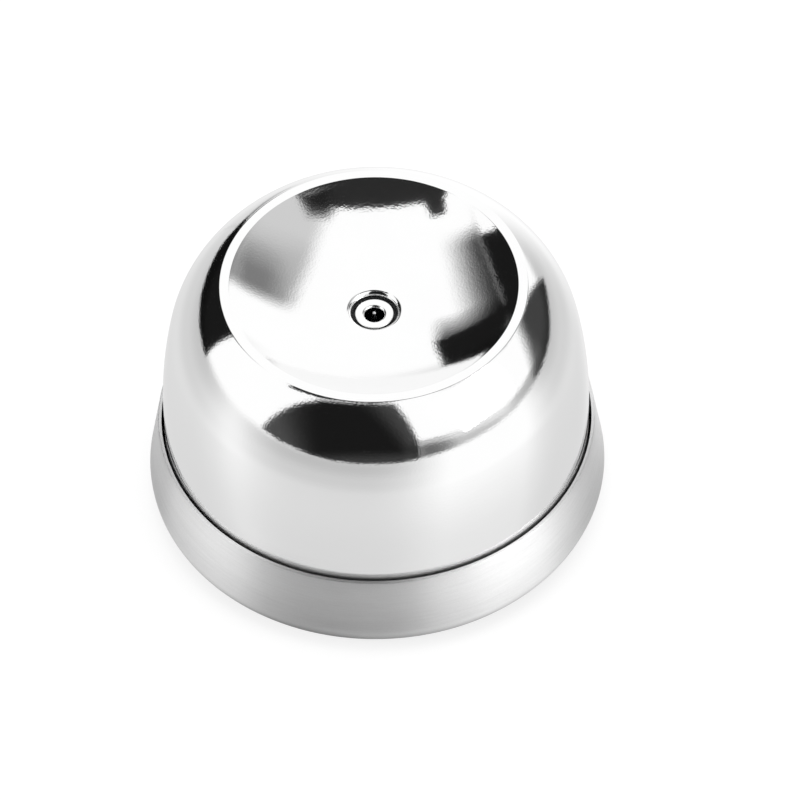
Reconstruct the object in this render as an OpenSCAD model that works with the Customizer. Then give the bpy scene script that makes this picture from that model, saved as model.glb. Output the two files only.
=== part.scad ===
// Press-down egg piercer. A polished dome with a dished top slides down inside a
// brushed base ring, over a needle that stands fixed on the base, and a coil spring
// lifts it again. The needle's tip waits in the centre bush, just under the dish.

/* [Overall] */
// Height from the floor to the rim of the dome
height = 34; // [32:0.5:37]
// Width of the base ring at its widest
base_d = 54; // [51:0.5:60]

/* [Dome] */
// Thickness of the drawn steel sheet of the dome and the base ring
sheet = 0.4; // [0.35:0.05:0.55]
// Outer width of the flat rim round the dish
rim_d = 36; // [34:0.2:37.4]
// Width of the flat rim
rim_land = 1.3; // [1:0.05:1.8]
// Radius of the rim's outer edge
rim_edge_r = 0.35; // [0.2:0.05:0.6]
// Radius of the rim's inner edge
rim_inner_r = 0.25; // [0.1:0.05:0.4]
// Depth of the spherical dish below the rim
dish_depth = 4.65; // [4.2:0.05:5.4]
// Radius of the slightly bowed side wall
wall_bow_r = 60; // [50:1:80]
// Angle at which the side wall turns into the shoulder
wall_bow_angle = 11; // [9:0.5:13]
// Radius of the shoulder
shoulder_r = 14.5; // [13.5:0.25:15.5]
// How far the skirt of the dome reaches down inside the base ring
skirt_overlap = 3.3; // [2.5:0.1:4]
// Length of the straight collar under the rolled edge of the centre hole
collar_drop = 0.7; // [0.4:0.1:1]

/* [Base ring] */
// Height of the ring's lip above the floor
ring_h = 11; // [9.5:0.25:12]
// Black gap between the dome and the lip
seam_gap = 0.3; // [0.25:0.05:0.6]
// How much wider the ring is at its foot than at its lip
ring_flare = 1.25; // [0.8:0.05:1.6]
// Radius of the ring's lower outer corner
ring_corner_r = 3; // [2:0.25:3.5]
// Width of the flat land under the ring
ring_land = 1.2; // [0.8:0.1:2]
// Width of the inward flange that is clamped in the base
flange_w = 5; // [4:0.25:5.5]
// Inner radius of the bends in the sheet
bend_in_r = 0.3; // [0.2:0.05:0.4]

/* [Foot] */
// Thickness of the soft foot pad
pad_t = 0.8; // [0.6:0.1:1.2]
// How far the pad stands proud of the ring
pad_proud = 0.3; // [0.1:0.05:0.4]
// Width of each magnet
magnet_d = 8; // [6:0.5:8.5]
// Thickness of each magnet
magnet_t = 1.5; // [1.2:0.1:2.5]
// Plastic left under each magnet
magnet_skin = 0.3; // [0.2:0.05:0.6]
// Plastic left between each magnet and the edge of the flange
magnet_inset = 0.95; // [0.8:0.05:1.6]

/* [Needle and bush] */
// How far the dome goes down
travel = 3.8; // [3:0.1:4.4]
// Width of the needle
needle_d = 1; // [0.8:0.05:1.4]
// Length of the needle's taper
needle_point = 2.4; // [1.5:0.1:3]
// Radius of the needle's polished tip
needle_tip_r = 0.2; // [0.1:0.02:0.3]
// How far the tip waits under the lowest point of the dish
needle_sink = 0.25; // [0.15:0.05:1]
// Play between the needle and the bore of the bush
needle_play = 0.6; // [0.4:0.02:0.8]
// Wall of the bush
bush_wall = 1.14; // [0.9:0.02:1.4]
// Radius of the rounded mouth of the bush
bush_mouth_r = 0.4; // [0.2:0.05:0.6]
// Length of the bush
bush_len = 7; // [6:0.25:8]
// How far the bush stands under the lowest point of the dish
bush_sink = 0.5; // [0.3:0.05:0.8]
// Dark gap between the bush and the hole in the dish
bush_gap = 0.43; // [0.3:0.01:0.6]

/* [Spring and guide] */
// Thickness of the spring wire
wire_d = 0.8; // [0.6:0.05:1]
// Turns of the spring between its two end turns
spring_turns = 6; // [4:1:7]
// Room between the spring and what stands inside it
spring_play_in = 1; // [0.6:0.1:1.4]
// Room between the spring and the guide tube round it
spring_play_out = 0.6; // [0.4:0.1:1]
// Thickness of the chassis plate
chassis_t = 1.8; // [1.4:0.1:2.4]
// Wall of the guide tube
guide_wall = 1.4; // [1.2:0.1:1.8]
// Wall of the sliding sleeve
sleeve_wall = 1.5; // [1.2:0.1:1.8]
// Sliding play between the sleeve and the guide tube
slide_play = 0.15; // [0.12:0.01:0.25]
// Thickness of the hub plate under the dish
hub_t = 1.8; // [1.4:0.1:2.4]
// Thickness of the ribs between the sleeve and the skirt ring
rib_t = 1.2; // [1:0.1:1.6]
// Height of the skirt ring
skirt_ring_h = 4; // [3:0.25:5]

/* [Hidden] */
$fn = 96;

// Overrun of every cut
over = 1;
// Gap at glued and pressed seats within one moving or fixed body
seat_gap = 0.05;
// Gap filled with glue between the dish and the hub plate
glue_gap = 0.15;
// Free height left at the lower stop, and at the snap arms' upper stop
stop_gap = 0.2;
catch_gap = 0.1;
// Free height between parts that pass over each other at full travel
pass_gap = 0.6;

// Radii of the shells
dome_r = base_d / 2 - ring_flare - sheet - seam_gap;
dome_in_r = dome_r - sheet;
rim_r = rim_d / 2;
dish_r = rim_r - rim_land;

// Centres of the arcs of the dome's outline, each as radius and height
shoulder_c_r = dome_r - wall_bow_r + (wall_bow_r - shoulder_r) * cos(wall_bow_angle);
edge_c = [rim_r - rim_edge_r, height - rim_edge_r];
shoulder_c = [shoulder_c_r,
              edge_c[1] - sqrt(pow(shoulder_r - rim_edge_r, 2) - pow(edge_c[0] - shoulder_c_r, 2))];
shoulder_end = atan2(edge_c[1] - shoulder_c[1], edge_c[0] - shoulder_c[0]);
waist_z = shoulder_c[1] - (wall_bow_r - shoulder_r) * sin(wall_bow_angle);
wall_c = [dome_r - wall_bow_r, waist_z];
skirt_z = ring_h - skirt_overlap;

// The dish is part of a sphere round this centre
dish_sphere_r = (pow(dish_r, 2) + pow(dish_depth, 2)) / (2 * dish_depth);
dish_c = [0, height - dish_depth + dish_sphere_r];
dish_under_r = dish_sphere_r + sheet;
dish_low_z = height - dish_depth;
inner_edge_z = height - rim_inner_r;
inner_edge_c = [sqrt(pow(dish_sphere_r + rim_inner_r, 2) - pow(dish_c[1] - inner_edge_z, 2)),
                inner_edge_z];
inner_edge_end = asin(inner_edge_c[0] / (dish_sphere_r + rim_inner_r));

// The needle, the bush and the hole in the dish, from the inside out
needle_r = needle_d / 2;
bore_r = needle_r + needle_play;
bush_r = bore_r + bush_wall;
hole_r = bush_r + bush_gap;
roll_out_r = bend_in_r + sheet;
roll_c_r = hole_r + roll_out_r;
roll_c = [roll_c_r, dish_c[1] - sqrt(pow(dish_sphere_r + roll_out_r, 2) - pow(roll_c_r, 2))];
roll_lean = asin(roll_c_r / (dish_sphere_r + roll_out_r));
collar_z = roll_c[1] - collar_drop;
collar_r = hole_r + sheet;
bush_top_z = dish_low_z - bush_sink;
bush_low_z = bush_top_z - bush_len;
bush_flange_w = 1;
bush_flange_t = 1;
bush_flange_r = bush_r + bush_flange_w;
bush_edge = 0.1;

// The moving insert: nose, hub and sleeve
nose_wall = 1;
nose_bore_r = bush_r + seat_gap;
nose_r = bush_flange_r + nose_wall;
nose_low_z = bush_low_z + bush_flange_t;
hub_hole_r = collar_r + glue_gap;
hub_seat_z = collar_z - glue_gap;
hub_top_r = dish_under_r + glue_gap;
hub_low_z = dish_c[1] - hub_top_r - hub_t;
hub_ledge = 2.4;

// The spring, and the guide tube and sleeve round it
spring_in_r = nose_r + spring_play_in;
spring_mid_r = spring_in_r + wire_d / 2;
guide_in_r = spring_in_r + wire_d + spring_play_out;
guide_r = guide_in_r + guide_wall;
sleeve_in_r = guide_r + slide_play;
sleeve_r = sleeve_in_r + sleeve_wall;
hub_r = sleeve_r + hub_ledge;

// Heights of the base: pad, plate, flange and chassis plate
plate_t = magnet_t + magnet_skin;
flange_low_z = pad_t + plate_t;
flange_z = flange_low_z + sheet;
chassis_z = flange_z + chassis_t;
ring_low_z = pad_proud;
bend_out_r = bend_in_r + sheet;
recess_r = base_d / 2 - ring_corner_r - ring_land - bend_out_r;
flange_in_r = recess_r - flange_w;
pad_play = 0.3;
pad_edge = 0.25;
plate_edge = bend_in_r + seat_gap;
foot_r = recess_r - pad_play;
spigot_r = flange_in_r - seat_gap;
chassis_r = recess_r - bend_in_r;

// The corner and the leaning wall of the base ring
corner_c = [base_d / 2 - ring_corner_r, ring_low_z + ring_corner_r];
lip_r = dome_r + seam_gap + sheet;
lip_d = norm([lip_r - corner_c[0], ring_h - corner_c[1]]);
wall_lean = atan2(ring_h - corner_c[1], lip_r - corner_c[0]) - acos(ring_corner_r / lip_d);
lip_edge = 0.12;

// Stops: the sleeve's end, and the snap arms in the windows of the guide tube
sleeve_low_z = chassis_z + travel + stop_gap;
guide_top_z = hub_low_z - travel - pass_gap;
post_wall = 1.9;
post_r = needle_r + post_wall;
post_top_z = bush_low_z - travel - pass_gap;
guide_lead = 0.5;
sleeve_lead = 0.4;
snap_count = 3;
snap_angle = 38;
barb_angle = 30;
window_angle = 38;
slit_w = 0.8;
slit_h = 9;
barb_low = 0.4;
barb_h = 1.6;
barb_slope_h = 0.8;
barb_reach = 1.1;
barb_z = sleeve_low_z + barb_low;
window_z = barb_z - travel - stop_gap - catch_gap;
window_top_z = barb_z + barb_h + catch_gap;

// The skirt ring and its ribs
skirt_ring_wall = 1.2;
skirt_ring_r = dome_in_r - seat_gap;
skirt_ring_lift = 0.8;
skirt_ring_z = skirt_z + skirt_ring_lift;
skirt_ring_top_z = skirt_ring_z + skirt_ring_h;
rib_count = 6;
rib_inset = 2.5;
rib_end_angle = 50;
rib_low_z = sleeve_low_z;

// The needle's head, and the stakes that hold the bottom plate
head_w = 1.2;
head_t = 0.8;
head_r = needle_r + head_w;
needle_tip_z = dish_low_z - needle_sink;
head_seat_z = flange_low_z + head_t + seat_gap;
stake_r = 1.2;
stake_head_w = 0.8;
stake_head_t = 0.7;
stake_sink = 0.05;
magnet_r = magnet_d / 2;
magnet_play = 0.1;
magnet_orbit = spigot_r - magnet_r - magnet_inset;
magnet_angle = 90;
stake_angle = 30;
trio = 3;

// Points of an arc round c, from angle a to angle b, without the first when it is shared
function arc(c, r, a, b, n, skip = 0) =
    [for (i = [skip : n]) let (t = a + (b - a) * i / n) c + r * [cos(t), sin(t)]];

// Height of a sphere's lower half round the dish centre, at radius x
function bowl_z(r, x) = dish_c[1] - sqrt(r * r - x * x);

module turned(points) {
    rotate_extrude() polygon(points);
}

// A solid of a revolved outline that covers only an angle, centred on +X
module sector(points, angle) {
    rotate([0, 0, -angle / 2]) rotate_extrude(angle = angle) polygon(points);
}

module around(count, turn = 0) {
    for (i = [0 : count - 1]) rotate([0, 0, turn + 360 * i / count]) children();
}

// The drawn steel dome, with its flat rim, its dish and the rolled centre hole
module dome_shell() {
    under_end = 270 + acos((dish_c[1] - height + sheet) / dish_under_r);
    rim_under = height - sheet - shoulder_c[1];
    rim_under_angle = asin(rim_under / (shoulder_r - sheet));
    outside = concat(
        [[dome_r, skirt_z]],
        arc(wall_c, wall_bow_r, 0, wall_bow_angle, 4),
        arc(shoulder_c, shoulder_r, wall_bow_angle, shoulder_end, 12, 1),
        arc(edge_c, rim_edge_r, shoulder_end, 90, 3, 1),
        arc(inner_edge_c, rim_inner_r, 90, 90 + inner_edge_end, 3),
        arc(dish_c, dish_sphere_r, 270 + inner_edge_end, 270 + roll_lean, 9, 1),
        arc(roll_c, roll_out_r, 90 + roll_lean, 180, 5, 1),
        [[hole_r, collar_z]]);
    inside = concat(
        [[collar_r, collar_z]],
        arc(roll_c, bend_in_r, 180, 90 + roll_lean, 4),
        arc(dish_c, dish_under_r, 270 + roll_lean, under_end, 9, 1),
        arc(shoulder_c, shoulder_r - sheet, rim_under_angle, wall_bow_angle, 12),
        arc(wall_c, wall_bow_r - sheet, wall_bow_angle, 0, 4, 1),
        [[dome_in_r, skirt_z]]);
    color([0.86, 0.87, 0.88]) turned(concat(outside, inside));
}

// The moulded insert glued under the dish: nose, hub plate, sleeve with snap arms,
// ribs and skirt ring
module dome_insert() {
    color([0.1, 0.1, 0.11]) {
        difference() {
            union() {
                insert_core();
                around(rib_count) insert_rib();
            }
            around(snap_count, stake_angle) snap_slits();
        }
        around(snap_count, stake_angle) snap_barb();
        insert_skirt_ring();
    }
}

module insert_core() {
    turned(concat(
        [[nose_bore_r, nose_low_z], [nose_r, nose_low_z], [nose_r, hub_low_z],
         [sleeve_in_r, hub_low_z], [sleeve_in_r, sleeve_low_z + sleeve_lead],
         [sleeve_in_r + sleeve_lead, sleeve_low_z], [sleeve_r, sleeve_low_z],
         [sleeve_r, hub_low_z], [hub_r, hub_low_z]],
        [for (i = [0 : 6]) let (x = hub_r + (hub_hole_r - hub_r) * i / 6) [x, bowl_z(hub_top_r, x)]],
        [[hub_hole_r, hub_seat_z], [nose_bore_r, hub_seat_z]]));
}

// A rib from the sleeve to the skirt ring, whose upper edge runs along the dome's outline
module insert_rib() {
    root_r = sleeve_r - sleeve_wall / 2;
    tip_r = skirt_ring_r - skirt_ring_wall / 2;
    inset = sheet + rib_inset;
    foot_z = skirt_ring_top_z - rib_t;
    along_dome = concat(
        arc(wall_c, wall_bow_r - inset, 0, wall_bow_angle, 3),
        arc(shoulder_c, shoulder_r - inset, wall_bow_angle, rib_end_angle, 6, 1));
    outline = concat(
        [[root_r, rib_low_z], [tip_r, rib_low_z], [tip_r, foot_z]],
        [for (p = along_dome) if (p[1] > foot_z) p],
        [[hub_r - rib_t, hub_low_z + hub_t / 2], [root_r, hub_low_z + hub_t / 2]]);
    rotate([90, 0, 0]) linear_extrude(rib_t, center = true) polygon(outline);
}

module insert_skirt_ring() {
    in_r = skirt_ring_r - skirt_ring_wall;
    turned([[in_r, skirt_ring_z], [skirt_ring_r, skirt_ring_z],
            [skirt_ring_r, skirt_ring_top_z], [in_r, skirt_ring_top_z]]);
}

// The two slits beside a snap arm
module snap_slits() {
    for (s = [-1, 1])
        rotate([0, 0, s * (snap_angle + slit_angle()) / 2])
            translate([sleeve_in_r - slide_play, -slit_w / 2, sleeve_low_z - over])
                cube([sleeve_wall + 2 * slide_play, slit_w, slit_h + over]);
}

function slit_angle() = 2 * asin(slit_w / 2 / sleeve_in_r);

// The barb of a snap arm, sloped below so that it rides over the guide tube
module snap_barb() {
    root_r = sleeve_in_r + sleeve_wall / 2;
    tip_r = guide_r - barb_reach;
    sector([[root_r, barb_z], [sleeve_in_r, barb_z], [tip_r, barb_z + barb_slope_h],
            [tip_r, barb_z + barb_h], [root_r, barb_z + barb_h]], barb_angle);
}

// The polished bush in the middle of the dish, with a rounded mouth and a flange under
// the nose
module guide_bush() {
    mouth_c = [bore_r + bush_mouth_r, bush_top_z - bush_mouth_r];
    color([0.93, 0.93, 0.92])
        turned(concat(
            [[bore_r, bush_low_z], [bush_flange_r, bush_low_z],
             [bush_flange_r, nose_low_z], [bush_r, nose_low_z],
             [bush_r, bush_top_z - bush_edge], [bush_r - bush_edge, bush_top_z]],
            arc(mouth_c, bush_mouth_r, 90, 180, 5)));
}

// The coil spring: one round wire wound in a helix, with a close turn at each end
spring_lift = 0.02;
end_turns = 1;
turn_gap = 0.5;
end_pitch = wire_d + turn_gap;
spring_rings = 16;
wire_sides = 8;
spring_low_z = chassis_z + wire_d / 2 + spring_lift;
spring_top_z = hub_low_z - wire_d / 2 - spring_lift;
free_pitch = (spring_top_z - spring_low_z - 2 * end_turns * end_pitch) / spring_turns;
all_turns = spring_turns + 2 * end_turns;

function wound(u) = min(u, end_turns) * end_pitch
    + min(max(u - end_turns, 0), spring_turns) * free_pitch
    + max(u - end_turns - spring_turns, 0) * end_pitch;

function pitch_at(u) = (u < end_turns || u > all_turns - end_turns) ? end_pitch : free_pitch;

function wire_centre(u) =
    [spring_mid_r * cos(360 * u), spring_mid_r * sin(360 * u), spring_low_z + wound(u)];

function wire_ring(u) =
    let (a = 360 * u,
         lean = atan(pitch_at(u) / (2 * PI * spring_mid_r)),
         out = [cos(a), sin(a), 0],
         up = [sin(a) * sin(lean), -cos(a) * sin(lean), cos(lean)])
    [for (k = [0 : wire_sides - 1]) let (t = 360 * k / wire_sides)
        wire_centre(u) + wire_d / 2 * (cos(t) * out + sin(t) * up)];

ring_count = all_turns * spring_rings;
wire_points = [for (i = [0 : ring_count]) each wire_ring(i / spring_rings)];
wire_faces = concat(
    [for (i = [0 : ring_count - 1]) for (k = [0 : wire_sides - 1])
        let (p = i * wire_sides + k,
             q = i * wire_sides + (k + 1) % wire_sides)
        each [[p, p + wire_sides, q], [q, p + wire_sides, q + wire_sides]]],
    [for (k = [1 : wire_sides - 2]) [0, k, k + 1]],
    [for (k = [1 : wire_sides - 2])
        let (p = ring_count * wire_sides)
        [p, p + k + 1, p + k]]);

module return_spring() {
    color([0.62, 0.63, 0.65]) polyhedron(points = wire_points, faces = wire_faces);
}

// Least gap between neighbouring turns, measured on the points of the wire's centre line
spring_gaps = [for (i = [0 : ring_count - spring_rings])
    norm(wire_centre((i + spring_rings) / spring_rings) - wire_centre(i / spring_rings)) - wire_d];
echo(least_gap_between_spring_turns = min(spring_gaps));

// The needle, with a rounded tip and a flat head that the bottom plate traps in the carrier
module needle() {
    tip_c = [0, needle_tip_z - needle_tip_r];
    color([0.72, 0.73, 0.75])
        turned(concat(
            [[0, flange_low_z], [head_r, flange_low_z], [head_r, flange_low_z + head_t],
             [needle_r, flange_low_z + head_t], [needle_r, needle_tip_z - needle_point]],
            arc(tip_c, needle_tip_r, 0, 90, 4)));
}

// The chassis: a plate with the needle post and the windowed guide tube, staked to
// the bottom plate
module needle_carrier() {
    hole_in_r = needle_r + seat_gap;
    head_hole_r = head_r + seat_gap;
    color([0.13, 0.13, 0.14]) {
        difference() {
            turned([[head_hole_r, flange_low_z], [spigot_r, flange_low_z], [spigot_r, flange_z],
                    [chassis_r, flange_z], [chassis_r, chassis_z], [guide_r, chassis_z],
                    [guide_r, guide_top_z - guide_lead], [guide_r - guide_lead, guide_top_z],
                    [guide_in_r, guide_top_z], [guide_in_r, chassis_z], [post_r, chassis_z],
                    [post_r, post_top_z], [hole_in_r, post_top_z], [hole_in_r, head_seat_z],
                    [head_hole_r, head_seat_z]]);
            around(snap_count, stake_angle) guide_window();
        }
        around(trio, stake_angle) stake();
    }
}

module guide_window() {
    sector([[guide_in_r - slide_play, window_z], [guide_r + slide_play, window_z],
            [guide_r + slide_play, window_top_z], [guide_in_r - slide_play, window_top_z]],
           window_angle);
}

// A stake through the bottom plate, with its flattened head in a countersunk recess
module stake() {
    head_z = pad_t + stake_sink;
    translate([magnet_orbit, 0, head_z]) {
        cylinder(h = stake_head_t, r = stake_r + stake_head_w);
        cylinder(h = flange_z - head_z, r = stake_r);
    }
}

// The brushed steel ring: leaning wall, rounded foot, and an inward flange set up
// above the foot pad
module base_ring() {
    step_c = [recess_r + bend_out_r, ring_low_z + bend_out_r];
    fold_c = [recess_r - bend_in_r, flange_low_z - bend_in_r];
    lean = [cos(wall_lean), sin(wall_lean)];
    wall_in_r = ring_corner_r - sheet;
    outside = concat(
        [[lip_r - lip_edge, ring_h], [lip_r, ring_h - lip_edge]],
        arc(corner_c, ring_corner_r, wall_lean, -90, 12),
        arc(step_c, bend_out_r, 270, 180, 4),
        arc(fold_c, bend_in_r, 0, 90, 3),
        [[flange_in_r, flange_low_z]]);
    inside = concat(
        [[flange_in_r, flange_z]],
        arc(fold_c, bend_out_r, 90, 0, 4),
        arc(step_c, bend_in_r, 180, 270, 3),
        arc(corner_c, wall_in_r, -90, wall_lean, 12),
        [[lip_r - sheet / lean[0] + lip_edge * tan(wall_lean), ring_h]]);
    color([0.66, 0.66, 0.65]) turned(concat(outside, inside));
}

// The plate under the flange, with pockets for the magnets and holes for the stakes
module bottom_plate() {
    color([0.08, 0.08, 0.09])
        difference() {
            turned([[0, pad_t], [foot_r, pad_t], [foot_r, flange_low_z - plate_edge],
                    [foot_r - plate_edge, flange_low_z], [0, flange_low_z]]);
            around(trio, magnet_angle)
                translate([magnet_orbit, 0, pad_t + magnet_skin])
                    cylinder(h = magnet_t + over, r = magnet_r + magnet_play);
            around(trio, stake_angle) translate([magnet_orbit, 0, pad_t]) {
                translate([0, 0, -over]) cylinder(h = plate_t + 2 * over, r = stake_r + seat_gap);
                translate([0, 0, -over])
                    cylinder(h = over + stake_sink + stake_head_t + seat_gap,
                             r = stake_r + stake_head_w + magnet_play);
            }
        }
}

module magnet(i) {
    color([0.7, 0.71, 0.72])
        rotate([0, 0, magnet_angle + 360 * i / trio])
            translate([magnet_orbit, 0, pad_t + magnet_skin])
                cylinder(h = magnet_t, r = magnet_r);
}

module magnet_1() {
    magnet(0);
}

module magnet_2() {
    magnet(1);
}

module magnet_3() {
    magnet(2);
}

// The soft pad that the piercer stands on
module foot_pad() {
    color([0.05, 0.05, 0.05])
        turned([[0, 0], [foot_r - pad_edge, 0], [foot_r, pad_edge], [foot_r, pad_t], [0, pad_t]]);
}

dome_shell();
dome_insert();
guide_bush();
return_spring();
needle();
needle_carrier();
base_ring();
bottom_plate();
magnet_1();
magnet_2();
magnet_3();
foot_pad();
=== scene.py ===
"""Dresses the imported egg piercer: the polished dome over the brushed ring, the bush and the
needle in the dish, the pieces inside, and the bright studio that the polish reflects."""

import math

import bpy
from mathutils import Matrix, Vector


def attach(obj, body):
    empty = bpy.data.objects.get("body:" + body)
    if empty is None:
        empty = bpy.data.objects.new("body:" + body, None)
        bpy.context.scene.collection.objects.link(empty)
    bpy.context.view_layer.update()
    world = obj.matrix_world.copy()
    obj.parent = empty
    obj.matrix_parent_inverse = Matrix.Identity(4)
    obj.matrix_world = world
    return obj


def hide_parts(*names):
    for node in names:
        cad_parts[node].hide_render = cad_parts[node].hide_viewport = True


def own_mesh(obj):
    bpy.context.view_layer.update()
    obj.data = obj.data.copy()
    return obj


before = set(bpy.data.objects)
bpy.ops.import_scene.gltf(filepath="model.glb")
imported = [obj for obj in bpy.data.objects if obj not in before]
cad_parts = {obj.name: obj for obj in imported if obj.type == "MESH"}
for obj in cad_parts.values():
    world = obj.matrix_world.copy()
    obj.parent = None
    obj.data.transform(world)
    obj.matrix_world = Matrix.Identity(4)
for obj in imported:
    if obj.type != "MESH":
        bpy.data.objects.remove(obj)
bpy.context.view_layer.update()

MM = 0.001

# Sizes of the pieces in millimetres, as in the part's source
HEIGHT = 34
BASE_R = 27
SHEET = 0.4
RIM_R = 18
RIM_LAND = 1.3
RIM_EDGE_R = 0.35
RIM_INNER_R = 0.25
DISH_DEPTH = 4.65
WALL_BOW_R = 60
WALL_BOW_ANGLE = 11
SHOULDER_R = 14.5
SKIRT_OVERLAP = 3.3
COLLAR_DROP = 0.7
RING_H = 11
SEAM_GAP = 0.3
RING_FLARE = 1.25
RING_CORNER_R = 3
RING_LAND = 1.2
FLANGE_W = 5
BEND_IN_R = 0.3
BEND_OUT_R = BEND_IN_R + SHEET
PAD_T = 0.8
PAD_PROUD = 0.3
PLATE_T = 1.8
CHASSIS_T = 1.8
NEEDLE_R = 0.5
NEEDLE_POINT = 2.4
NEEDLE_TIP_R = 0.2
NEEDLE_SINK = 0.25
NEEDLE_PLAY = 0.6
BUSH_WALL = 1.14
BUSH_MOUTH_R = 0.4
BUSH_LEN = 7
BUSH_SINK = 0.5
BUSH_GAP = 0.43
BUSH_FLANGE_W = 1
BUSH_FLANGE_T = 1
BUSH_EDGE_R = 0.1
NEEDLE_HEAD_W = 1.2
NEEDLE_HEAD_T = 0.8
RING_LIP_R = 0.12
PAD_PLAY = 0.3
PAD_EDGE_R = 0.25
HUB_GAP = 0.15
HUB_T = 1.8
NOSE_WALL = 2
SPRING_PLAY = 1
SPRING_END_GAP = 0.5
SPRING_LIFT = 0.02
SPRING_END_SHARE = 0.86
WIRE_D = 0.8
SPRING_TURNS = 6
TRAVEL = 3.8


def cosd(angle):
    return math.cos(math.radians(angle))


def sind(angle):
    return math.sin(math.radians(angle))


def angle_of(height, reach):
    return math.degrees(math.atan2(height, reach))


# Radii and arc centres that follow from the sizes, each centre as radius and height
DOME_R = BASE_R - RING_FLARE - SHEET - SEAM_GAP
DOME_IN_R = DOME_R - SHEET
DISH_R = RIM_R - RIM_LAND
EDGE_C = (RIM_R - RIM_EDGE_R, HEIGHT - RIM_EDGE_R)
_shoulder_reach = DOME_R - WALL_BOW_R + (WALL_BOW_R - SHOULDER_R) * cosd(WALL_BOW_ANGLE)
SHOULDER_C = (_shoulder_reach, EDGE_C[1] - math.sqrt(
    (SHOULDER_R - RIM_EDGE_R) ** 2 - (EDGE_C[0] - _shoulder_reach) ** 2))
SHOULDER_END = angle_of(EDGE_C[1] - SHOULDER_C[1], EDGE_C[0] - SHOULDER_C[0])
WAIST_Z = SHOULDER_C[1] - (WALL_BOW_R - SHOULDER_R) * sind(WALL_BOW_ANGLE)
WALL_C = (DOME_R - WALL_BOW_R, WAIST_Z)
SKIRT_Z = RING_H - SKIRT_OVERLAP
BOWL_R = (DISH_R ** 2 + DISH_DEPTH ** 2) / (2 * DISH_DEPTH)
BOWL_C = (0, HEIGHT - DISH_DEPTH + BOWL_R)
BOWL_UNDER_R = BOWL_R + SHEET
DISH_LOW_Z = HEIGHT - DISH_DEPTH
INNER_EDGE_C = (math.sqrt((BOWL_R + RIM_INNER_R) ** 2
                          - (BOWL_C[1] - HEIGHT + RIM_INNER_R) ** 2), HEIGHT - RIM_INNER_R)
INNER_EDGE_END = math.degrees(math.asin(INNER_EDGE_C[0] / (BOWL_R + RIM_INNER_R)))
BORE_R = NEEDLE_R + NEEDLE_PLAY
BUSH_R = BORE_R + BUSH_WALL
HOLE_R = BUSH_R + BUSH_GAP
ROLL_C = (HOLE_R + BEND_OUT_R, BOWL_C[1] - math.sqrt(
    (BOWL_R + BEND_OUT_R) ** 2 - (HOLE_R + BEND_OUT_R) ** 2))
ROLL_LEAN = math.degrees(math.asin(ROLL_C[0] / (BOWL_R + BEND_OUT_R)))
COLLAR_Z = ROLL_C[1] - COLLAR_DROP
BUSH_TOP_Z = DISH_LOW_Z - BUSH_SINK
BUSH_LOW_Z = BUSH_TOP_Z - BUSH_LEN
NEEDLE_TIP_Z = DISH_LOW_Z - NEEDLE_SINK
FLANGE_LOW_Z = PAD_T + PLATE_T
FLANGE_Z = FLANGE_LOW_Z + SHEET
CHASSIS_Z = FLANGE_Z + CHASSIS_T
RECESS_R = BASE_R - RING_CORNER_R - RING_LAND - BEND_OUT_R
CORNER_C = (BASE_R - RING_CORNER_R, PAD_PROUD + RING_CORNER_R)
LIP_R = DOME_R + SEAM_GAP + SHEET
WALL_LEAN = angle_of(RING_H - CORNER_C[1], LIP_R - CORNER_C[0]) - math.degrees(
    math.acos(RING_CORNER_R / math.hypot(LIP_R - CORNER_C[0], RING_H - CORNER_C[1])))


# Shapes

def arc(centre, radius, start, end, steps, skip=0):
    """Points of an arc round centre, without the first ones when they are shared."""
    angles = [start + (end - start) * i / steps for i in range(skip, steps + 1)]
    return [(centre[0] + radius * cosd(a), centre[1] + radius * sind(a)) for a in angles]


def straight(a, b, steps, skip=0):
    return [(a[0] + (b[0] - a[0]) * i / steps, a[1] + (b[1] - a[1]) * i / steps)
            for i in range(skip, steps + 1)]


def piece_of(name, points, faces, body, slot, finish, node, sharp=32):
    """A piece that stands for a CAD node: points in millimetres, smooth but for its sharp edges."""
    mesh = bpy.data.meshes.new(name)
    mesh.from_pydata([tuple(c * MM for c in p) for p in points], [], faces)
    mesh.validate()
    mesh.shade_smooth()
    mesh.set_sharp_from_angle(angle=math.radians(sharp))
    mesh.materials.append(finish)
    piece = bpy.data.objects.new(name, mesh)
    bpy.context.scene.collection.objects.link(piece)
    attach(piece, body)
    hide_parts(node)
    return piece


def turned(name, outline, turns, **piece):
    """The closed outline of (radius, height) points, turned round the needle's axis."""
    points, rows = [], []
    for radius, height in outline:
        first = len(points)
        if radius < 1e-6:
            points.append((0, 0, height))
            rows.append([first] * turns)
        else:
            for k in range(turns):
                around = 360 * k / turns
                points.append((radius * cosd(around), radius * sind(around), height))
            rows.append(list(range(first, first + turns)))
    faces = []
    for low, high in zip(rows, rows[1:] + rows[:1]):
        for k in range(turns):
            corners = [low[k], low[(k + 1) % turns], high[(k + 1) % turns], high[k]]
            corners = [c for i, c in enumerate(corners) if c not in corners[:i]]
            if len(corners) > 2:
                faces.append(corners)
    return piece_of(name, points, faces, **piece)


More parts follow.
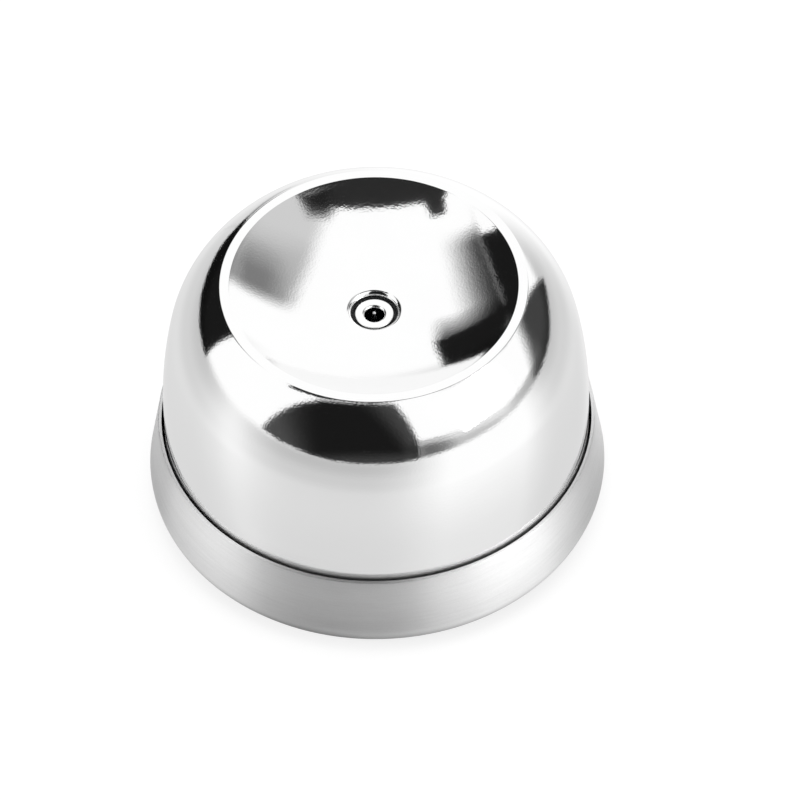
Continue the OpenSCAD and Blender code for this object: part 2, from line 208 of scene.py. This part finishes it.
def dome_outline():
    under_end = 270 + math.degrees(math.acos((BOWL_C[1] - HEIGHT + SHEET) / BOWL_UNDER_R))
    rim_under = math.degrees(math.asin((HEIGHT - SHEET - SHOULDER_C[1]) / (SHOULDER_R - SHEET)))
    return (
        straight((DOME_R, SKIRT_Z), (DOME_R, WAIST_Z), 4)
        + arc(WALL_C, WALL_BOW_R, 0, WALL_BOW_ANGLE, 16, 1)
        + arc(SHOULDER_C, SHOULDER_R, WALL_BOW_ANGLE, SHOULDER_END, 40, 1)
        + arc(EDGE_C, RIM_EDGE_R, SHOULDER_END, 90, 10, 1)
        + straight((EDGE_C[0], HEIGHT), (INNER_EDGE_C[0], HEIGHT), 4, 1)
        + arc(INNER_EDGE_C, RIM_INNER_R, 90, 90 + INNER_EDGE_END, 9, 1)
        + arc(BOWL_C, BOWL_R, 270 + INNER_EDGE_END, 270 + ROLL_LEAN, 34, 1)
        + arc(ROLL_C, BEND_OUT_R, 90 + ROLL_LEAN, 180, 16, 1)
        + [(HOLE_R, COLLAR_Z), (HOLE_R + SHEET, COLLAR_Z)]
        + arc(ROLL_C, BEND_IN_R, 180, 90 + ROLL_LEAN, 8)
        + arc(BOWL_C, BOWL_UNDER_R, 270 + ROLL_LEAN, under_end, 12, 1)
        + arc(SHOULDER_C, SHOULDER_R - SHEET, rim_under, WALL_BOW_ANGLE, 16)
        + arc(WALL_C, WALL_BOW_R - SHEET, WALL_BOW_ANGLE, 0, 6, 1)
        + [(DOME_IN_R, SKIRT_Z)])


def ring_outline():
    inner_lean = LIP_R - SHEET / cosd(WALL_LEAN) + RING_LIP_R * math.tan(math.radians(WALL_LEAN))
    step_c = (RECESS_R + BEND_OUT_R, PAD_PROUD + BEND_OUT_R)
    fold_c = (RECESS_R - BEND_IN_R, FLANGE_LOW_Z - BEND_IN_R)
    flange_in_r = RECESS_R - FLANGE_W
    tangent = (CORNER_C[0] + RING_CORNER_R * cosd(WALL_LEAN),
               CORNER_C[1] + RING_CORNER_R * sind(WALL_LEAN))
    return (
        arc((LIP_R - RING_LIP_R, RING_H - RING_LIP_R), RING_LIP_R, 90, WALL_LEAN, 4)
        + straight((LIP_R, RING_H - RING_LIP_R), tangent, 8, 1)
        + arc(CORNER_C, RING_CORNER_R, WALL_LEAN, -90, 24, 1)
        + arc(step_c, BEND_OUT_R, 270, 180, 8)
        + arc(fold_c, BEND_IN_R, 0, 90, 6)
        + [(flange_in_r, FLANGE_LOW_Z), (flange_in_r, FLANGE_Z)]
        + arc(fold_c, BEND_OUT_R, 90, 0, 8)
        + arc(step_c, BEND_IN_R, 180, 270, 6)
        + arc(CORNER_C, RING_CORNER_R - SHEET, -90, WALL_LEAN, 16)
        + [(inner_lean, RING_H)])


def bush_outline():
    flange_r = BUSH_R + BUSH_FLANGE_W
    flange_z = BUSH_LOW_Z + BUSH_FLANGE_T
    edge_c = (BUSH_R - BUSH_EDGE_R, BUSH_TOP_Z - BUSH_EDGE_R)
    mouth_c = (BORE_R + BUSH_MOUTH_R, BUSH_TOP_Z - BUSH_MOUTH_R)
    return (
        [(BORE_R, BUSH_LOW_Z), (flange_r, BUSH_LOW_Z), (flange_r, flange_z), (BUSH_R, flange_z)]
        + arc(edge_c, BUSH_EDGE_R, 0, 90, 5)
        + arc(mouth_c, BUSH_MOUTH_R, 90, 180, 14))


def needle_outline():
    head_r = NEEDLE_R + NEEDLE_HEAD_W
    head_z = FLANGE_LOW_Z + NEEDLE_HEAD_T
    tip_c = (0, NEEDLE_TIP_Z - NEEDLE_TIP_R)
    return (
        [(0, FLANGE_LOW_Z), (head_r, FLANGE_LOW_Z), (head_r, head_z), (NEEDLE_R, head_z)]
        + straight((NEEDLE_R, NEEDLE_TIP_Z - NEEDLE_POINT), (NEEDLE_TIP_R, tip_c[1]), 6)
        + arc(tip_c, NEEDLE_TIP_R, 0, 90, 8, 1))


def pad_outline():
    pad_r = RECESS_R - PAD_PLAY
    return ([(0, 0), (pad_r / 2, 0)]
            + arc((pad_r - PAD_EDGE_R, PAD_EDGE_R), PAD_EDGE_R, -90, 0, 6)
            + [(pad_r, PAD_T), (0, PAD_T)])


def spring_mesh():
    """Points and faces of the round wire, wound with a close turn at each end."""
    rings, sides = 56, 14
    mid_r = BUSH_R + NOSE_WALL + SPRING_PLAY + WIRE_D / 2
    hub_low_z = BOWL_C[1] - BOWL_UNDER_R - HUB_GAP - HUB_T
    low = CHASSIS_Z + WIRE_D / 2 + SPRING_LIFT
    high = hub_low_z - WIRE_D / 2 - SPRING_LIFT
    close = WIRE_D + SPRING_END_GAP
    free = (high - low - 2 * close) / SPRING_TURNS
    all_turns = SPRING_TURNS + 2

    def climb(u):
        return (min(u, 1) * close + min(max(u - 1, 0), SPRING_TURNS) * free
                + max(u - 1 - SPRING_TURNS, 0) * close)

    def ring_at(u, radius):
        around = 360 * u
        lean = angle_of(climb(u + 0.02) - climb(u - 0.02), 0.04 * 2 * math.pi * mid_r)
        out = Vector((cosd(around), sind(around), 0))
        up = Vector((sind(around) * sind(lean), -cosd(around) * sind(lean), cosd(lean)))
        centre = mid_r * out + Vector((0, 0, low + climb(u)))
        return [centre + radius * (cosd(360 * k / sides) * out + sind(360 * k / sides) * up)
                for k in range(sides)]

    points, faces = [], []
    count = all_turns * rings
    for i in range(count + 1):
        share = SPRING_END_SHARE if i in (0, count) else 1
        points += [tuple(p) for p in ring_at(i / rings, WIRE_D / 2 * share)]
    for i in range(count):
        for k in range(sides):
            a, b = i * sides + k, i * sides + (k + 1) % sides
            faces.append((a, a + sides, b + sides, b))
    faces.append(tuple(range(sides)))
    faces.append(tuple(count * sides + k for k in reversed(range(sides))))
    return points, faces, hub_low_z


# Shader maths

class Value:
    """A number that changes from point to point; Python's operators add its Math nodes."""

    def __init__(self, graph, socket):
        self.graph = graph
        self.socket = socket

    def also(self, output):
        """Another output of the same node."""
        return Value(self.graph, self.socket.node.outputs[output])

    def __add__(self, other):
        return self.graph.math("ADD", self, other)

    def __sub__(self, other):
        return self.graph.math("SUBTRACT", self, other)

    def __mul__(self, other):
        return self.graph.math("MULTIPLY", self, other)

    def __truediv__(self, other):
        return self.graph.math("DIVIDE", self, other)

    def __pow__(self, other):
        return self.graph.math("POWER", self, other)

    def __radd__(self, other):
        return self.graph.math("ADD", other, self)

    def __rsub__(self, other):
        return self.graph.math("SUBTRACT", other, self)

    def __rmul__(self, other):
        return self.graph.math("MULTIPLY", other, self)


class Graph:
    """The nodes of one material or of the world."""

    def __init__(self, tree):
        tree.nodes.clear()
        self.tree = tree

    def node(self, kind, settings=None, sockets=None, out=0):
        """Any node: its settings first, then the values or links of its sockets."""
        made = self.tree.nodes.new(kind)
        for key, value in (settings or {}).items():
            setattr(made, key, value)
        for key, value in (sockets or {}).items():
            if isinstance(value, Value):
                self.tree.links.new(value.socket, made.inputs[key])
            else:
                made.inputs[key].default_value = value
        return Value(self, made.outputs[out]) if len(made.outputs) else made

    def math(self, operation, a, b=0.0):
        return self.node("ShaderNodeMath", {"operation": operation}, {0: a, 1: b})

    def vector(self, x, y, z):
        return self.node("ShaderNodeCombineXYZ", {}, {"X": x, "Y": y, "Z": z})

    def place(self):
        """The point on the piece, in millimetres."""
        spot = self.node("ShaderNodeTexCoord", {}, {}, out="Object")
        return self.node("ShaderNodeVectorMath", {"operation": "SCALE"}, {0: spot, "Scale": 1000.0})

    def parts(self, vector):
        x = self.node("ShaderNodeSeparateXYZ", {}, {"Vector": vector}, out="X")
        return x, x.also("Y"), x.also("Z")

    def noise(self, vector, scale, detail=2.0, rough=0.5):
        return self.node("ShaderNodeTexNoise", {"noise_dimensions": "3D"},
                         {"Vector": vector, "Scale": scale, "Detail": detail, "Roughness": rough})

    def between(self, value, low, high, start=0.0, end=1.0, how="SMOOTHSTEP"):
        """start below low, end above high, and a smooth step from one to the other."""
        return self.node("ShaderNodeMapRange", {"interpolation_type": how},
                         {"Value": value, "From Min": low, "From Max": high,
                          "To Min": start, "To Max": end}, out="Result")

    def tint(self, factor, first, second):
        """A colour between two, by the factor."""
        return self.node("ShaderNodeMix", {"data_type": "RGBA"},
                         {0: factor, 6: (*first, 1), 7: (*second, 1)}, out=2)

    def bump(self, height):
        """The surface tilted by a height in thousandths of a millimetre."""
        return self.node("ShaderNodeBump", {}, {"Height": height, "Strength": 1.0,
                                                "Distance": 1e-6}, out="Normal")

    def surface(self, sockets):
        shader = self.node("ShaderNodeBsdfPrincipled", {}, sockets)
        self.node("ShaderNodeOutputMaterial", {}, {"Surface": shader})


def new_finish(name):
    finish = bpy.data.materials.new(name)
    finish.use_nodes = True
    return finish, Graph(finish.node_tree)


# Finishes

def round_lines(graph, place, stretch, pitch):
    """Noise drawn out round the needle's axis, with about pitch lines to the millimetre."""
    x, y, z = graph.parts(place)
    radius = (x * x + y * y) ** 0.5
    return graph.vector(x / radius * stretch, y / radius * stretch, (z - radius) * pitch)


def polished_steel():
    """Mirror polish with faint buffing lines, a fine grain and the slow waves of drawn sheet."""
    finish, g = new_finish("polished_steel")
    place = g.place()
    buffing = g.noise(round_lines(g, place, 6, 4), 1.0, 3)
    grain = g.noise(place, 4.0, 1)
    waves = g.noise(place, 0.3, 1)
    haze = g.noise(place, 0.12, 3, 0.6)
    z = g.parts(place)[2]
    unbuffed = g.between(z, RING_H + 0.3, RING_H + 1.2, 0.42, 0)
    g.surface({
        "Base Color": g.tint(haze, (0.92, 0.92, 0.92), (0.95, 0.95, 0.95)),
        "Metallic": 1.0,
        "Roughness": 0.03 + haze * 0.04 + buffing * 0.02 + unbuffed,
        "Normal": g.bump(buffing * 2.5 + grain * 4 + waves * 12)})
    return finish


def brushed_steel():
    """Steel brushed round the ring: fine lines, with the blur across them. Its inside and its foot
    carry painted shade.
    """
    finish, g = new_finish("brushed_steel")
    place = g.place()
    fine = g.between(g.noise(round_lines(g, place, 7, 7), 1.0, 4, 0.65), 0.3, 0.7)
    broad = g.between(g.noise(round_lines(g, place, 3, 2), 1.0, 2), 0.3, 0.7)
    x, y, z = g.parts(place)
    facing = g.node("ShaderNodeNewGeometry", {}, {}, out="Normal")
    outward = g.node("ShaderNodeVectorMath", {"operation": "DOT_PRODUCT"},
                     {0: facing, 1: g.vector(x, y, 0.0)}, out="Value")
    # Painted shade: the faces that look into the ring are darkened in the base colour
    inside = g.between(outward / (x * x + y * y) ** 0.5, -0.7, -0.2, 1, 0)
    # Painted shade: the base colour darkens toward the foot, standing in for the ring's own shadow
    # on the floor that the polish would mirror
    painted_foot_shade = g.between(z, 1.3, 3.4, 0.35, 1) * g.between(z, 2.5, 9.5, 0.85, 1)
    scuffs = g.noise(place, 5.0, 2)
    g.surface({
        "Base Color": ((0.88 + fine * 0.05 + broad * 0.03 + scuffs * 0.08) * painted_foot_shade
                       * (1 - inside * 0.85)),
        "Metallic": 1.0,
        "Roughness": 0.38 + fine * 0.05 + broad * 0.03,
        "Anisotropic": 0.98,
        "Anisotropic Rotation": 0.25,
        "Normal": g.bump(fine * 2 + broad * 2 + scuffs * 3)})
    return finish


def bush_steel():
    finish, g = new_finish("bush_steel")
    place = g.place()
    turning = g.noise(round_lines(g, place, 2, 20), 1.0, 2)
    g.surface({
        "Base Color": g.tint(turning, (0.92, 0.92, 0.915), (0.97, 0.97, 0.965)),
        "Metallic": 1.0,
        "Roughness": 0.06 + turning * 0.06,
        "Normal": g.bump(turning * 0.5)})
    return finish


def needle_steel():
    """Ground steel, its body darkened as painted shade below a tip lightened as a painted glint."""
    finish, g = new_finish("needle_steel")
    place = g.place()
    z = g.parts(place)[2]
    grinding = g.noise(round_lines(g, place, 2, 24), 1.0, 3)
    # Painted shade and painted glint: the base colour is dark on the body and light at the very tip
    painted_tip_glint = g.between(z, NEEDLE_TIP_Z - 0.45, NEEDLE_TIP_Z - 0.1)
    g.surface({
        "Base Color": g.tint(painted_tip_glint, (0.24, 0.24, 0.25), (0.8, 0.8, 0.81)),
        "Metallic": 1.0,
        "Roughness": 0.16 + grinding * 0.16,
        "Normal": g.bump(grinding * 1.2)})
    return finish


def spring_steel():
    finish, g = new_finish("spring_steel")
    place = g.place()
    drawn = g.noise(round_lines(g, place, 12, 6), 1.0, 3)
    oil = g.noise(place, 0.7, 2)
    g.surface({
        "Base Color": g.tint(oil, (0.5, 0.5, 0.52), (0.68, 0.68, 0.7)),
        "Metallic": 1.0,
        "Roughness": 0.24 + drawn * 0.2,
        "Normal": g.bump(drawn * 2)})
    return finish


def black_plastic():
    """Moulded black plastic with spark-eroded grain and paler rubbed places."""
    finish, g = new_finish("black_plastic")
    place = g.place()
    grain = g.noise(place, 9.0, 3, 0.6)
    rubbed = g.between(g.noise(place, 0.35, 3), 0.52, 0.68)
    g.surface({
        "Base Color": g.tint(rubbed, (0.024, 0.024, 0.026), (0.04, 0.04, 0.042)),
        "Roughness": 0.56 - rubbed * 0.16 + grain * 0.08,
        "IOR": 1.5,
        "Normal": g.bump(grain * 9)})
    return finish


def magnet_nickel():
    finish, g = new_finish("magnet_nickel")
    place = g.place()
    pits = g.node("ShaderNodeTexVoronoi", {"feature": "F1"}, {"Vector": place, "Scale": 2.6})
    tarnish = g.noise(place, 0.5, 3)
    g.surface({
        "Base Color": g.tint(tarnish, (0.62, 0.61, 0.58), (0.78, 0.78, 0.77)),
        "Metallic": 1.0,
        "Roughness": 0.12 + tarnish * 0.2,
        "Normal": g.bump(g.between(pits, 0.0, 0.25) * 4)})
    return finish


def pad_foam():
    """Dense black foam, with the cut cells open at its surface."""
    finish, g = new_finish("pad_foam")
    place = g.place()
    cells = g.node("ShaderNodeTexVoronoi", {"feature": "F1"}, {"Vector": place, "Scale": 3.4})
    wall = g.between(cells, 0.12, 0.5)
    dust = g.noise(place, 0.8, 4)
    g.surface({
        "Base Color": g.tint(wall * 0.7 + dust * 0.3, (0.012, 0.012, 0.012), (0.05, 0.05, 0.05)),
        "Roughness": 0.82 + dust * 0.15,
        "Normal": g.bump(wall * 60)})
    return finish


# Pieces

def dress_frame(finishes):
    """The CAD nodes that keep their own shape get their finish."""
    for node, finish in finishes.items():
        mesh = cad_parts[node].data
        if mesh.materials:
            for i in range(len(mesh.materials)):
                mesh.materials[i] = finish
        else:
            mesh.materials.append(finish)


def build_pieces():
    black = black_plastic()
    nickel = magnet_nickel()
    turned("dome_skin", dome_outline(), 288, body="presser", slot="polished_steel",
           finish=polished_steel(), node="dome_shell")
    turned("bush_sleeve", bush_outline(), 144, body="presser", slot="bush_steel",
           finish=bush_steel(), node="guide_bush")
    turned("needle_pin", needle_outline(), 64, body="base", slot="needle_steel",
           finish=needle_steel(), node="needle")
    turned("ring_skin", ring_outline(), 288, body="base", slot="brushed_steel",
           finish=brushed_steel(), node="base_ring")
    turned("pad_disc", pad_outline(), 144, body="base", slot="pad_foam",
           finish=pad_foam(), node="foot_pad")
    points, faces, hub_low_z = spring_mesh()
    spring = piece_of("spring_wire", points, faces, body="base", slot="spring_steel",
                      finish=spring_steel(), node="return_spring", sharp=50)
    free = hub_low_z - CHASSIS_Z
    (free - TRAVEL) / free
    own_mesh(spring)
    dress_frame({"dome_insert": black, "needle_carrier": black, "bottom_plate": black,
                 "magnet_1": nickel, "magnet_2": nickel, "magnet_3": nickel})


# Studio

# Corners of the studio's cards on its plan: 0, 0 is overhead, the horizon is 1 away, the first
# number is to the right and the second to the back
FRONT_CARD = ((-0.76, -0.43), (-0.68, -0.585), (-0.495, -0.77), (-0.34, -0.85), (-0.16, -0.9),
              (0.0, -0.905), (0.16, -0.9), (0.32, -0.85), (0.25, -0.635), (0.07, -0.27),
              (-0.25, -0.23), (-0.36, -0.275), (-0.51, -0.32))
HEADER_CARD = ((-0.25, -0.06), (0.16, -0.056), (0.26, -0.065), (0.29, -0.16), (0.09, -0.27),
               (-0.23, -0.21), (-0.34, -0.14))
HEADER_LEFT = ((-0.25, 0.005), (-0.2, 0.005), (-0.18, -0.05), (-0.18, -0.1), (-0.25, -0.1))
HEADER_RIGHT = ((0.15, -0.008), (0.215, -0.008), (0.25, -0.07), (0.16, -0.1), (0.12, -0.07))
SIDE_BAND = ((-0.91, 0.26), (-0.86, 0.47), (-0.76, 0.71), (-0.57, 1.0), (-0.42, 1.14),
             (-0.405, 0.58), (-0.405, 0.18))
SIDE_INNER = ((-0.49, 0.575), (-0.418, 0.575), (-0.359, 0.14), (-0.49, 0.165))
SIDE_BLOCK = ((-0.44, 0.57), (-0.415, 0.725), (-0.375, 0.84), (-0.31, 0.93), (-0.26, 0.94),
              (-0.197, 0.905), (-0.186, 0.76), (-0.175, 0.63))
SIDE_SLIVER = ((-0.445, 0.72), (-0.38, 0.88), (-0.28, 1.03), (-0.262, 1.02), (-0.42, 0.72))
SIDE_STRIP = ((-0.5, 1.04), (-0.34, 1.32), (-0.3, 1.41), (-0.24, 1.41), (-0.405, 1.08))
RIGHT_CARD = ((0.725, 0.75), (0.78, 0.645), (0.85, 0.51), (0.915, 0.375), (0.95, 0.25),
              (0.965, 0.155), (0.955, 0.02), (0.86, 0.0), (0.5, 0.18), (0.56, 0.415))

# Tones are the picture's, 0 to 1. A card's tone is 1 less its darkness
STUDIO_LEVEL = 0.62
CARD_DARKNESS = 0.88
PICTURE_GAMMA = 2.2
POLISH_SHINE = 0.94
# Azimuth, the spread where it is full and where it has gone, in degrees, and darkness
FLOOR_PATCHES = ((203, 10, 60, 0.2), (308, 12, 60, 0.18), (60, 8, 43, 0.18))
# The side cards that are evenly dark, with the width of each one's soft edge
SIDE_CARDS = ((SIDE_BAND, 0.035), (SIDE_INNER, 0.012), (SIDE_BLOCK, 0.02), (SIDE_SLIVER, 0.006))


class Seen:
    """The direction that the polish mirrors: its parts, and its place on the studio's plan."""

    def __init__(self, graph):
        self.graph = graph
        heading = graph.node("ShaderNodeTexCoord", {}, {}, out="Generated")
        self.x, self.y, self.z = graph.parts(heading)
        self.level_reach = (self.x * self.x + self.y * self.y) ** 0.5
        self.across = self.x / (1 + self.z)
        self.back = self.y / (1 + self.z)
        self.plan = graph.vector(self.across, self.back, 1.0)

    def toward(self, azimuth, full, none):
        """1 near an azimuth, from behind clockwise seen from above, and 0 away from it."""
        facing = (self.x * sind(azimuth) + self.y * cosd(azimuth)) / self.level_reach
        return self.graph.between(facing, cosd(none), cosd(full))

    def card(self, corners, soft):
        """1 inside a card and 0 outside, over an edge that is soft wide."""
        middle = Vector((sum(c[0] for c in corners), sum(c[1] for c in corners), len(corners)))
        depth = None
        for a, b in zip(corners, corners[1:] + corners[:1]):
            side = Vector((a[1] - b[1], b[0] - a[0], 0)).normalized()
            side.z = -side.x * a[0] - side.y * a[1]
            if side.dot(middle) < 0:
                side.negate()
            inside = self.graph.node("ShaderNodeVectorMath", {"operation": "DOT_PRODUCT"},
                                     {0: self.plan, 1: side}, out="Value")
            depth = inside if depth is None else self.graph.math("MINIMUM", depth, inside)
        return self.graph.between(depth, -soft / 2, soft / 2)

    def darkest(self, *shades):
        most = shades[0]
        for shade in shades[1:]:
            most = self.graph.math("MAXIMUM", most, shade)
        return most


def floor_shade(seen):
    """The pale floor in the polish: patches that darken toward the horizon, and a shade below."""
    g, z = seen.graph, seen.z
    lean = g.between(z, sind(-50), sind(-15), 0.3, 1.0) + g.between(z, sind(-14), 0, 0, 0.3)
    patches = sum(seen.toward(azimuth, full, none) * darkness
                  for azimuth, full, none, darkness in FLOOR_PATCHES)
    deep = g.between(z, sind(-50), sind(-25), 0.1, 0) * g.between(z, sind(-66), sind(-52))
    left = seen.toward(262, 25, 75) * g.between(z, sind(-64), sind(-50), 0.4, 0)
    return (patches * lean + deep + left) * g.between(z, sind(2), sind(10), 1, 0)


def black_cards(seen):
    """The black cards in front, overhead and at the side. The front one pales to its edges."""
    g, across, back = seen.graph, seen.across, seen.back
    front = seen.card(FRONT_CARD, 0.038) * (
        1 - g.between(across + 0.47 * back, -0.22, -0.08) * 0.16
        - g.between(across - 0.3 * back, -0.5, -0.15, 0.2, 0)
        - g.between(back, -0.87, -0.7, 0.14, 0))
    header = seen.darkest(seen.card(HEADER_CARD, 0.012), seen.card(HEADER_LEFT, 0.012),
                          seen.card(HEADER_RIGHT, 0.05) * g.between(back, -0.06, 0, 0.95, 0.5))
    header = header * g.between(0.6 * across - 0.8 * back, 0.185, 0.24, 1, 0) * 0.93
    strip = seen.card(SIDE_STRIP, 0.07) * g.between(back, 1.1, 1.35, 0.6, 0.2)
    sides = [seen.card(corners, soft) for corners, soft in SIDE_CARDS]
    return seen.darkest(front, header, *sides, strip) * CARD_DARKNESS


def side_shade(seen):
    """The grey slope beside the side cards, with the thin line of light between them."""
    g, across, back = seen.graph, seen.across, seen.back
    slant = back - 0.14 * across
    beside = across + 0.1356 * back + 0.34
    light_line = (g.between(beside, -0.004, 0.0) * g.between(beside, 0.008, 0.014, 1, 0)
                  * g.between(back, -0.02, 0.1))
    slope = (1 - g.between(across + 0.08 * back, -0.368, -0.193, 0.2, 1)
             * g.between(back, 0.467, 0.633, 1, 0.3, "LINEAR"))
    return (g.between(beside, -0.01, 0.0) * g.between(back, 0.07, 0.17)
            * g.between(slant, 0.65, 0.66, 1, 0) * g.between(across, -0.21, -0.16, 1, 0)
            * slope * (1 - light_line * 0.3) + light_line * 0.06)


def right_card(seen):
    """The grey card on the right, soft on the side toward the front."""
    g, across, back = seen.graph, seen.across, seen.back
    return (seen.card(RIGHT_CARD, 0.05) * g.between(back, 0.02, 0.3, 0.55, 0.74)
            * g.between(0.474 * across + 0.88 * back, 0.39, 0.53))


def low_band(seen):
    """The grey band on the horizon at the right, which leans a little."""
    g, x, y, z = seen.graph, seen.x, seen.y, seen.z
    horizon_lean = z * cosd(22.8) - (x * sind(175.5) + y * cosd(175.5)) * sind(22.8)
    low_top = 1 - g.between(horizon_lean, -0.02, 0.02) * g.between(z, sind(8.5), sind(11.5))
    low_foot = g.between(z + 0.08 * y, -0.01, 0.07)
    return (low_top * low_foot * seen.toward(122, 32, 46)
            * g.between(horizon_lean, -0.14, -0.03, 1, 0.45)
            * (0.25 + seen.toward(90, 0, 22) * 0.36 + seen.toward(164, 8, 28) * 0.34))


def cloud(seen):
    """The soft grey cloud at the right, darker toward the back."""
    g, across, back = seen.graph, seen.across, seen.back
    near = (g.between(across - 0.22 * back, 0.13, 0.2)
            * (0.28 - g.between(back, 0.05, 0.2, 0.08, 0)))
    far = g.between(across, 0.22, 0.36) * g.between(back, 0.12, 0.32) * 0.24
    return ((near + far) * g.between(back, 0.37, 0.48, 1, 0) * g.between(back, -0.2, -0.1)
            * (1 - g.between(across, 0.41, 0.46) * 0.2) * g.between(across, 0.47, 0.52, 1, 0)
            * g.between(across - 0.8 * back, 0.38, 0.44, 1, 0))


def studio_world():
    """White to the camera, an even level on matt surfaces, and in the polish the pale floor,
    the black and grey cards and the white room."""
    world = bpy.data.worlds.new("studio")
    world.use_nodes = True
    bpy.context.scene.world = world
    world.cycles.sampling_method = "NONE"
    g = Graph(world.node_tree)
    seen = Seen(g)
    cards = seen.darkest(black_cards(seen), side_shade(seen), right_card(seen))
    tone = (1 - floor_shade(seen)) * (1 - cards) * (1 - low_band(seen)) * (1 - cloud(seen))
    shine = tone ** PICTURE_GAMMA / POLISH_SHINE
    ray = g.node("ShaderNodeLightPath", {}, {}, out="Is Camera Ray")
    mirrored = g.math("MAXIMUM", ray.also("Is Glossy Ray"), ray.also("Is Transmission Ray"))
    level = ray + (1 - ray) * (mirrored * shine + (1 - mirrored) * STUDIO_LEVEL)
    g.node("ShaderNodeOutputWorld", {}, {
        "Surface": g.node("ShaderNodeBackground", {}, {"Color": level, "Strength": 1.0})})


FLOOR_R = 3
FLOOR_DROP = 0.02
FLOOR_GREY = 0.3
FLOOR_GLOW = 0.75


def studio_floor():
    """A pale floor that is white to the camera and keeps the object's soft shadow. In the
    polish the world stands for it."""
    mesh = bpy.data.meshes.new("floor")
    rim = [(FLOOR_R * cosd(a), FLOOR_R * sind(a), -FLOOR_DROP * MM) for a in range(0, 360, 5)]
    mesh.from_pydata(rim, [], [tuple(range(len(rim)))])
    finish, g = new_finish("floor_white")
    glow = g.node("ShaderNodeLightPath", {}, {}, out="Is Camera Ray") * FLOOR_GLOW
    g.surface({"Base Color": (FLOOR_GREY, FLOOR_GREY, FLOOR_GREY, 1), "Roughness": 1.0,
               "Specular IOR Level": 0.0, "Emission Color": glow, "Emission Strength": 1.0})
    mesh.materials.append(finish)
    floor = bpy.data.objects.new("floor", mesh)
    floor.visible_glossy = False
    floor.visible_transmission = False
    bpy.context.scene.collection.objects.link(floor)


def soft_lamp(name, place, size, power, mirrored):
    lamp = bpy.data.lights.new(name, "AREA")
    lamp.shape = "SQUARE"
    lamp.size = size
    lamp.energy = power
    holder = bpy.data.objects.new(name, lamp)
    holder.location = place
    holder.rotation_euler = (-Vector(place)).to_track_quat("-Z", "Y").to_euler()
    holder.visible_glossy = mirrored
    holder.visible_transmission = False
    bpy.context.scene.collection.objects.link(holder)


# Name, place and width in metres, power in watts, and whether the metal mirrors the lamp
LAMPS = (("overhead_lamp", (0.1, 0.3, 1.5), 1.4, 9, False),
         ("left_lamp", (-1.2, -0.5, 0.9), 0.9, 5, False),
         ("right_lamp", (1.1, -0.56, 0.8), 0.9, 3.8, True))


# Camera

# Distances in metres, angles in degrees, the aim's height in millimetres
VIEW_DISTANCE = 0.7
VIEW_ELEVATION = 49.5
VIEW_FOCUS_PX = 5960
AIM_HEIGHT = 15
AIM_PX = (376.1, 390.7)
VIEW_ROLL = 0.93
PHOTO_PX = 800
SENSOR_MM = 36


def set_camera():
    """The photograph's view: the point at AIM_HEIGHT on the axis lands on the pixel AIM_PX."""
    lens = bpy.data.cameras.new("photo_camera")
    lens.sensor_width = SENSOR_MM
    lens.lens = VIEW_FOCUS_PX * SENSOR_MM / PHOTO_PX
    lens.clip_start = 0.05
    lens.clip_end = 20
    middle = PHOTO_PX / 2
    yaw = (middle - AIM_PX[0]) / VIEW_FOCUS_PX / cosd(VIEW_ELEVATION)
    pitch = math.radians(VIEW_ELEVATION) + (middle - AIM_PX[1]) / VIEW_FOCUS_PX
    ahead = Vector((math.sin(yaw) * math.cos(pitch), math.cos(yaw) * math.cos(pitch),
                    -math.sin(pitch)))
    level_right = Vector((math.cos(yaw), -math.sin(yaw), 0))
    down = ahead.cross(level_right)
    right = cosd(VIEW_ROLL) * level_right + sind(VIEW_ROLL) * down
    up = sind(VIEW_ROLL) * level_right - cosd(VIEW_ROLL) * down
    camera = bpy.data.objects.new("photo_camera", lens)
    spot = Vector((0, -VIEW_DISTANCE * cosd(VIEW_ELEVATION),
                   VIEW_DISTANCE * sind(VIEW_ELEVATION) + AIM_HEIGHT * MM))
    turn = Matrix((right, up, -ahead)).transposed()
    camera.matrix_world = Matrix.Translation(spot) @ turn.to_4x4()
    bpy.context.scene.collection.objects.link(camera)
    bpy.context.scene.camera = camera


set_camera()
build_pieces()
studio_world()
studio_floor()
for lamp_row in LAMPS:
    soft_lamp(*lamp_row)
bpy.context.scene.view_settings.view_transform = "Standard"

bpy.context.view_layer.update()
